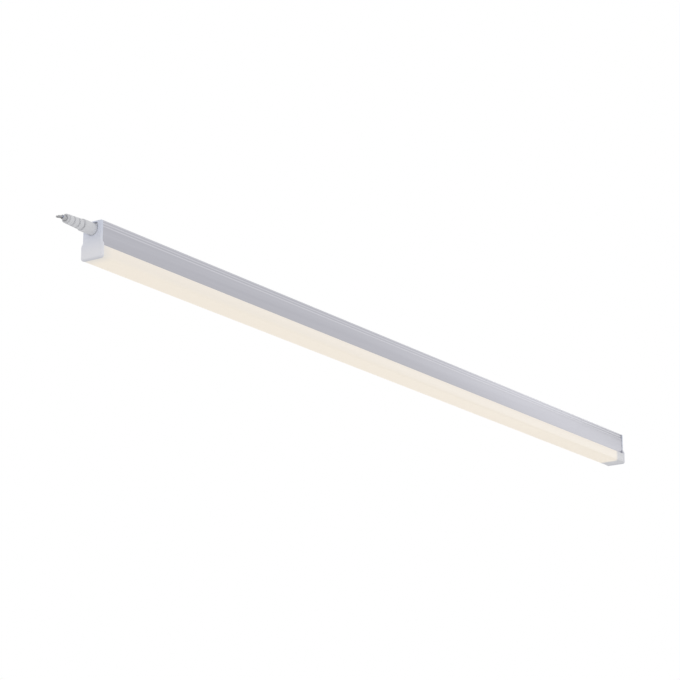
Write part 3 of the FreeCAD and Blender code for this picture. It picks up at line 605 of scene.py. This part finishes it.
def pick(kind, test):
    """Selects the corners, edges or faces of the open piece whose box, low to high, passes the test."""
    bpy.ops.mesh.select_mode(type=kind)
    bpy.ops.mesh.select_all(action="DESELECT")
    data = bpy.context.object.data
    mesh = bmesh.from_edit_mesh(data)
    for part in {"VERT": mesh.verts, "EDGE": mesh.edges, "FACE": mesh.faces}[kind]:
        corners = [part.co] if kind == "VERT" else [corner.co for corner in part.verts]
        low = Vector([min(corner[i] for corner in corners) for i in range(3)])
        high = Vector([max(corner[i] for corner in corners) for i in range(3)])
        if test(low, high):
            part.select_set(True)
    bmesh.update_edit_mesh(data)


def at(value, place):
    return abs(value - place) < SAME


def bevel_long_edges(z, radius, segments, half=None):
    """Rounds the edges along X at a height, and at a half width where one is given."""
    def test(low, high):
        flat = at(low.z, z) and at(high.z, z) and at(low.y, high.y)
        return flat and high.x - low.x > SAME and (half is None or at(abs(low.y), half))
    pick("EDGE", test)
    bpy.ops.mesh.bevel(offset=radius, segments=segments, affect="EDGES")


def cut(place, along):
    bpy.ops.mesh.select_all(action="SELECT")
    bpy.ops.mesh.bisect(plane_co=place, plane_no=along)


def apply(piece, modifier):
    bpy.ops.object.select_all(action="DESELECT")
    piece.select_set(True)
    bpy.context.view_layer.objects.active = piece
    bpy.ops.object.modifier_apply(modifier=modifier.name)


def combine(piece, tool, operation):
    """Adds another solid to the piece or takes it away, and deletes the tool."""
    bpy.ops.object.mode_set(mode="OBJECT")
    modifier = piece.modifiers.new("combine", "BOOLEAN")
    modifier.object = tool
    modifier.operation = operation
    modifier.solver = "EXACT"
    apply(piece, modifier)
    bpy.data.objects.remove(tool)


def soften(piece, width, segments=3, sharper=40):
    """Rounds every edge that is sharper than an angle."""
    bpy.ops.object.mode_set(mode="OBJECT")
    modifier = piece.modifiers.new("soften", "BEVEL")
    modifier.width = width
    modifier.segments = segments
    modifier.limit_method = "ANGLE"
    modifier.angle_limit = sharper * DEG
    modifier.harden_normals = False
    apply(piece, modifier)


def keyed_block(name, start, end, half, low, high, small, large):
    """A block along X with small upper and large lower corners, which fits a recess one way up only."""
    piece = add_block(name, (start, -half, low), (end, half, high))
    bevel_long_edges(high, small, 6)
    bevel_long_edges(low, large, 14)
    return piece


def turned(name, points, height=axis_z, across=0.0, sides=64):
    """A round piece along X: a bar drawn out and resized from point to point, each with its X and radius."""
    (first_x, radius), (x, _) = points[:2]
    piece = add_rod(name, (min(first_x, x), across, height), abs(x - first_x), radius, sides)
    for next_x, next_radius in points[2:]:
        pick("FACE", lambda low, high: at(low.x, x) and at(high.x, x) and high.y - low.y > radius)
        bpy.ops.mesh.extrude_region_move(TRANSFORM_OT_translate={"value": (next_x - x, 0, 0)})
        scale = next_radius / radius
        bpy.ops.transform.resize(value=(1, scale, scale), center_override=(next_x, across, height))
        x, radius = next_x, next_radius
    return piece


# ---- the extrusion
ABOVE_SIDE_END = -20.0 * MM
BELOW_FLOOR = -20.5 * MM
INSIDE_OF_SKIRT = 6.8 * MM
EXTRUSION_EDGE = 0.1 * MM


def model_extrusion():
    """The frame's section, with its sides and feet brought down to the trough, and soft edges."""
    piece = copy_of(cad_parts["housing"], "extruded_housing")
    bpy.ops.object.mode_set(mode="EDIT")
    bpy.ops.mesh.select_all(action="SELECT")
    bpy.ops.mesh.remove_doubles(threshold=0.001 * MM)
    bpy.ops.mesh.dissolve_limited(angle_limit=0.2 * DEG)
    pick("VERT", lambda low, high: low.z < ABOVE_SIDE_END
         and (abs(low.y) > INSIDE_OF_SKIRT or low.z < BELOW_FLOOR))
    bpy.ops.transform.translate(value=(0, 0, -SIDE_DROP))
    soften(piece, EXTRUSION_EDGE, 2)
    settle(piece, "housing", "light")


# ---- the opal trough
TROUGH_WALL = 1.4 * MM
TROUGH_CORNER = 2.4 * MM
TROUGH_EDGE = 0.12 * MM
FLANGE_TIP = 8.02 * MM
FLANGE_EDGE = 0.35 * MM


def model_trough():
    """A U with round lower corners and flanges turned in along its top."""
    half = diffuser_high.y
    piece = add_block("opal_trough", (diffuser_low.x, -half, TROUGH_UNDER),
                      (diffuser_high.x, half, TROUGH_TOP))
    pick("FACE", lambda low, high: at(low.x, high.x) or at(low.z, TROUGH_TOP))
    bpy.ops.mesh.delete(type="FACE")
    bevel_long_edges(TROUGH_UNDER, TROUGH_CORNER, 10)
    for side in (-1, 1):
        pick("EDGE", lambda low, high: at(low.z, TROUGH_TOP) and at(high.z, TROUGH_TOP)
             and at(low.y, side * half) and at(high.y, side * half))
        inwards = (0, side * (FLANGE_TIP - half), 0)
        bpy.ops.mesh.extrude_region_move(TRANSFORM_OT_translate={"value": inwards})
    bevel_long_edges(TROUGH_TOP, FLANGE_EDGE, 3, half)
    bpy.ops.mesh.select_all(action="SELECT")
    bpy.ops.mesh.normals_make_consistent(inside=False)
    bpy.ops.object.mode_set(mode="OBJECT")
    modifier = piece.modifiers.new("wall", "SOLIDIFY")
    modifier.thickness = TROUGH_WALL
    modifier.offset = -1
    modifier.use_even_offset = True
    apply(piece, modifier)
    soften(piece, TROUGH_EDGE, 2, 60)
    settle(piece, "diffuser", "light")


# ---- the end caps
CAP_LEDGE = -20.0 * MM
CAP_STEP_TOP = -17.6 * MM
CAP_STEP_ROUND = 0.8 * MM
CAP_OVERHANG = 0.15 * MM
CAP_CORNER = 2.5 * MM
CAP_TOP_CORNER = 0.5 * MM
CAP_FACE_EDGE = 0.4 * MM
RECESS_HALF = 5.5 * MM
RECESS_LOW = plug_low.z - 0.1 * MM
RECESS_SMALL = 1.6 * MM
RECESS_LARGE = 5.2 * MM
RECESS_EDGE = 0.15 * MM
TUNNEL_HALF = 7.95 * MM
TUNNEL_WALL = 1.1 * MM
RIB_LENGTH = 4.0 * MM
RIB_WALL = 1.0 * MM
RIB_UPPER_CORNER = 0.3 * MM
RIB_LOWER_CORNER = 1.0 * MM
FIT = 0.12 * MM


def model_cap_plate():
    """The plate with its stepped outline."""
    front, back = near_low.x, housing_low.x
    half, upper = near_high.y, housing_high.y + CAP_OVERHANG
    piece = add_block("near_cap", (front, -half, CAP_UNDER), (back, half, near_high.z))
    cut((0, 0, CAP_LEDGE), (0, 0, 1))
    cut((0, 0, CAP_STEP_TOP), (0, 0, 1))
    pick("VERT", lambda low, high: low.z > CAP_STEP_TOP - SAME)
    bpy.ops.transform.resize(value=(1, upper / half, 1), center_override=(0, 0, 0))
    bevel_long_edges(CAP_UNDER, CAP_CORNER, 8)
    bevel_long_edges(near_high.z, CAP_TOP_CORNER, 3)
    bevel_long_edges(CAP_STEP_TOP, CAP_STEP_ROUND, 4, upper)
    bevel_long_edges(CAP_LEDGE, CAP_STEP_ROUND, 4, half)
    bpy.ops.mesh.select_all(action="SELECT")
    bpy.ops.mesh.dissolve_limited(angle_limit=0.5 * DEG)
    pick("FACE", lambda low, high: at(low.x, front) and at(high.x, front))
    bpy.ops.mesh.region_to_loop()
    bpy.ops.mesh.bevel(offset=CAP_FACE_EDGE, segments=4, affect="EDGES")
    return piece


def model_rib():
    """The rib that fits inside the end of the trough."""
    half = diffuser_high.y - TROUGH_WALL - FIT
    low, high = TROUGH_UNDER + TROUGH_WALL + FIT, housing_low.z - SIDE_DROP - FIT
    start, end = housing_low.x - FIT, housing_low.x + RIB_LENGTH
    rib = keyed_block("rib", start, end, half, low, high, RIB_UPPER_CORNER, RIB_LOWER_CORNER)
    bpy.ops.object.mode_set(mode="OBJECT")
    hollow = add_block("hollow", (start - MM, RIB_WALL - half, low + RIB_WALL),
                       (end + MM, half - RIB_WALL, high + MM))
    combine(rib, hollow, "DIFFERENCE")
    return rib


def model_caps():
    """The near cap, with its plate, tunnel and rib in one and a keyed recess, and its copy at the far end."""
    cap = model_cap_plate()
    bpy.ops.object.mode_set(mode="OBJECT")
    tunnel = add_block("tunnel", (housing_low.x - FIT, -TUNNEL_HALF, block_low.z - TUNNEL_WALL),
                       (near_high.x, TUNNEL_HALF, near_high.z - FIT))
    combine(cap, tunnel, "UNION")
    combine(cap, model_rib(), "UNION")
    recess = keyed_block("recess", near_low.x - MM, near_high.x + MM, RECESS_HALF, RECESS_LOW, block_high.z,
                         RECESS_SMALL, RECESS_LARGE)
    combine(cap, recess, "DIFFERENCE")
    bpy.ops.object.mode_set(mode="EDIT")
    pick("EDGE", lambda low, high: at(low.x, near_low.x) and at(high.x, near_low.x)
         and low.y > -RECESS_HALF - SAME and high.y < RECESS_HALF + SAME
         and low.z > RECESS_LOW - SAME and high.z < block_high.z + SAME)
    bpy.ops.mesh.bevel(offset=RECESS_EDGE, segments=3, affect="EDGES")
    bpy.ops.object.mode_set(mode="OBJECT")
    far = copy_of(cap, "far_cap")
    far.rotation_euler = (0, 0, math.pi)
    bpy.ops.object.transform_apply(location=True, rotation=True, scale=True)
    settle(cap, "near_end_cap", "light")
    settle(far, "far_end_cap", "light")


# ---- the plug and its short end of lead
PLUG_PLAY = 0.3 * MM
HEAD_HALF = RECESS_HALF - PLUG_PLAY
HEAD_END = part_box("plug_insert")[1].x
HEAD_EDGE = 0.25 * MM
SLEEVE_RADIUS = 1.55 * MM
NECK_START = near_low.x + 1.4 * MM
NECK_END = near_low.x - 13.2 * MM
NECK_RADIUS = 5.15 * MM
RING_RADIUS = 4.5 * MM
RING_STEP = 0.22 * MM
RING_GROOVE = 1.5 * MM
RING_LENGTHS = (4.2 * MM, 4.2 * MM, 4.2 * MM, 1.0 * MM)
RING_EDGE = 0.35 * MM
ROOT_RADIUS = 3.2 * MM
LEAD_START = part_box("lead_sheath")[1].x
LEAD_RADIUS = 1.8 * MM
LEAD_EDGE = 0.12 * MM
JACKET_WALL = 0.3 * MM
LEAD_END = plug_low.x - 3.9 * MM
CORE_RADIUS = 0.7 * MM
CORE_LENGTH = 1.2 * MM
CORE_SIDE = 0.975 * MM
FERRULE_LENGTH = 4.2 * MM
FERRULE_RADIUS = 0.95 * MM
CRIMPS = 4
CRIMP_START = 0.35 * MM
CRIMP_FLOOR = 0.25 * MM
CRIMP_DEPTH = 0.13 * MM
CRIMP_EDGE = 0.05 * MM
CORE_DROOP = 11 * DEG


def model_plug_head():
    """The block that slides into the recess, with a bore for each contact sleeve."""
    piece = keyed_block("plug_head", NECK_START, HEAD_END, HEAD_HALF, plug_low.z, plug_high.z,
                        RECESS_SMALL - PLUG_PLAY, RECESS_LARGE - PLUG_PLAY)
    bpy.ops.object.mode_set(mode="OBJECT")
    sleeves_low, sleeves_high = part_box("plug_sockets")
    for y in (sleeves_low.y + SLEEVE_RADIUS, sleeves_high.y - SLEEVE_RADIUS):
        bore = add_rod("bore", (sleeves_low.x, y, axis_z), HEAD_END - sleeves_low.x + MM, SLEEVE_RADIUS)
        combine(piece, bore, "DIFFERENCE")
    soften(piece, HEAD_EDGE)
    settle(piece, "plug_insert", "plug")


def model_relief():
    """The neck of the plug and its strain relief, with rings that get smaller and a mouth for the lead."""
    points = [(NECK_START, NECK_RADIUS), (NECK_END, NECK_RADIUS)]
    x = NECK_END
    for i, length in enumerate(RING_LENGTHS):
        radius = RING_RADIUS - i * RING_STEP
        points += [(x, ROOT_RADIUS), (x - RING_GROOVE, ROOT_RADIUS), (x - RING_GROOVE, radius)]
        x -= RING_GROOVE + length
        points.append((x, radius - RING_STEP / 2))
    mouth = LEAD_RADIUS + 0.2 * MM
    points += [(x, mouth), (x + 2 * MM, mouth)]
    piece = turned("plug_moulding", points)
    soften(piece, RING_EDGE)
    settle(piece, "plug_body", "plug")


def model_lead():
    """The jacket, cut square, and the two cores that leave it with a crimped ferrule on each."""
    rim = LEAD_RADIUS - JACKET_WALL
    jacket = turned("lead_jacket", [(LEAD_START, LEAD_RADIUS), (LEAD_END, LEAD_RADIUS), (LEAD_END, rim),
                                    (LEAD_END + 0.5 * MM, rim)])
    soften(jacket, LEAD_EDGE)
    settle(jacket, "lead_sheath", "plug")
    core_end = LEAD_END - CORE_LENGTH
    ferrule = [(core_end, FERRULE_RADIUS)]
    for i in range(CRIMPS):
        x = core_end - FERRULE_LENGTH * (i + 1) / CRIMPS
        ferrule += [(x + CRIMP_START, FERRULE_RADIUS), (x + CRIMP_FLOOR, FERRULE_RADIUS - CRIMP_DEPTH),
                    (x, FERRULE_RADIUS - CRIMP_DEPTH)]
        if i < CRIMPS - 1:
            ferrule.append((x, FERRULE_RADIUS))
    core = [(LEAD_END + MM, CORE_RADIUS), (LEAD_END, CORE_RADIUS), (core_end - 0.5 * MM, CORE_RADIUS)]
    ends = (
        ("bared_cores", core, "lead_cores", "lead_cores"),
        ("crimped_ferrules", ferrule, "core_ferrules", "ferrules"),
    )
    for name, points, node, slot in ends:
        first = turned(name, points, sides=32)
        pick("VERT", lambda low, high: low.x < LEAD_END - SAME)
        bpy.ops.transform.rotate(value=CORE_DROOP, orient_axis="Y", center_override=(LEAD_END, 0, axis_z))
        soften(first, CRIMP_EDGE, 2)
        second = copy_of(first, name + "_second")
        for piece, side in ((first, -1), (second, 1)):
            piece.location.y = side * CORE_SIDE
            piece.select_set(True)
        bpy.context.view_layer.objects.active = first
        bpy.ops.object.transform_apply(location=True, rotation=True, scale=True)
        bpy.ops.object.join()
        settle(first, node, "plug")


# ---- the cover of the far recess
COVER_THICKNESS = 2.4 * MM
COVER_PLAY = 0.15 * MM
COVER_EDGE = 0.3 * MM
NAIL_SLOT = Vector((1.2, 3.0, 1.0)) * MM
OUTLET_RADIUS = 1.7 * MM


def model_cover():
    """A keyed plate with a slot for a fingernail in its face and a peg for each socket behind it."""
    plate_start = cover_high.x - COVER_THICKNESS
    piece = keyed_block("socket_cover", plate_start, cover_high.x, RECESS_HALF - COVER_PLAY,
                        RECESS_LOW + COVER_PLAY, cover_high.z, RECESS_SMALL - COVER_PLAY,
                        RECESS_LARGE - COVER_PLAY)
    bpy.ops.object.mode_set(mode="OBJECT")
    slot = add_block("slot", (cover_high.x - NAIL_SLOT.x, -NAIL_SLOT.y, axis_z - NAIL_SLOT.z),
                     (cover_high.x + MM, NAIL_SLOT.y, axis_z + NAIL_SLOT.z))
    bpy.ops.object.mode_set(mode="OBJECT")
    combine(piece, slot, "DIFFERENCE")
    sleeves_low, sleeves_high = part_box("outlet_sockets")
    for y in (sleeves_low.y + OUTLET_RADIUS, sleeves_high.y - OUTLET_RADIUS):
        peg = add_rod("peg", (cover_low.x, y, axis_z), plate_start - cover_low.x + 0.2 * MM, SLEEVE_RADIUS)
        combine(piece, peg, "UNION")
    soften(piece, COVER_EDGE)
    settle(piece, "blanking_cover", "cover")


model_extrusion()
model_trough()
model_caps()
model_plug_head()
model_relief()
model_lead()
model_cover()


# ---- floor, world and lamps
FLOOR_DROP = 3.6
FLOOR_SIZE = 240.0
AMBIENT = 0.76


def make_floor():
    bpy.ops.mesh.primitive_plane_add(size=FLOOR_SIZE, location=(0, 0, -FLOOR_DROP))
    floor = bpy.context.object
    floor.name = "floor"
    f = Finish("floor_paint", roughness=0.9, specular_ior_level=0.1)
    f.colour(f.mix(f.noise(0.6), (0.90, 0.90, 0.90), (0.93, 0.93, 0.93)))
    floor.data.materials.append(f.material)


def make_world():
    """Even light all round. The camera and reflections see it as white."""
    world = bpy.data.worlds.new("studio")
    bpy.context.scene.world = world
    world.use_nodes = True
    tree = world.node_tree
    path = tree.nodes.new("ShaderNodeLightPath").outputs
    seen = Socket(tree, path["Is Camera Ray"])
    for ray in ("Is Glossy Ray", "Is Transmission Ray"):
        seen = seen.at_least(Socket(tree, path[ray]))
    backgrounds = []
    for strength in (AMBIENT, 1.0):
        background = tree.nodes.new("ShaderNodeBackground")
        background.inputs["Color"].default_value = (1, 1, 1, 1)
        background.inputs["Strength"].default_value = strength
        backgrounds.append(background)
    mix = tree.nodes.new("ShaderNodeMixShader")
    tree.links.new(seen.output, mix.inputs[0])
    for background, slot in zip(backgrounds, (mix.inputs[1], mix.inputs[2])):
        tree.links.new(background.outputs[0], slot)
    tree.links.new(mix.outputs[0], tree.nodes["World Output"].inputs["Surface"])


def make_softbox(name, place, target, size, power):
    data = bpy.data.lights.new(name, "AREA")
    data.shape = "RECTANGLE"
    data.size, data.size_y = size
    data.energy = power
    lamp = bpy.data.objects.new(name, data)
    bpy.context.scene.collection.objects.link(lamp)
    lamp.location = place
    lamp.rotation_euler = (Vector(target) - Vector(place)).to_track_quat("-Z", "Y").to_euler()
    lamp.visible_camera = False


make_floor()
make_world()
make_softbox("key", (-5.5, -6.5, -2.5), (0, 0, 0), (4.0, 4.0), 60)
make_softbox("far_card", (9.6, -2.6, 2.3), (0.4, 0, 0), (3.6, 3.6), 20)

bpy.context.scene.view_settings.view_transform = "Standard"
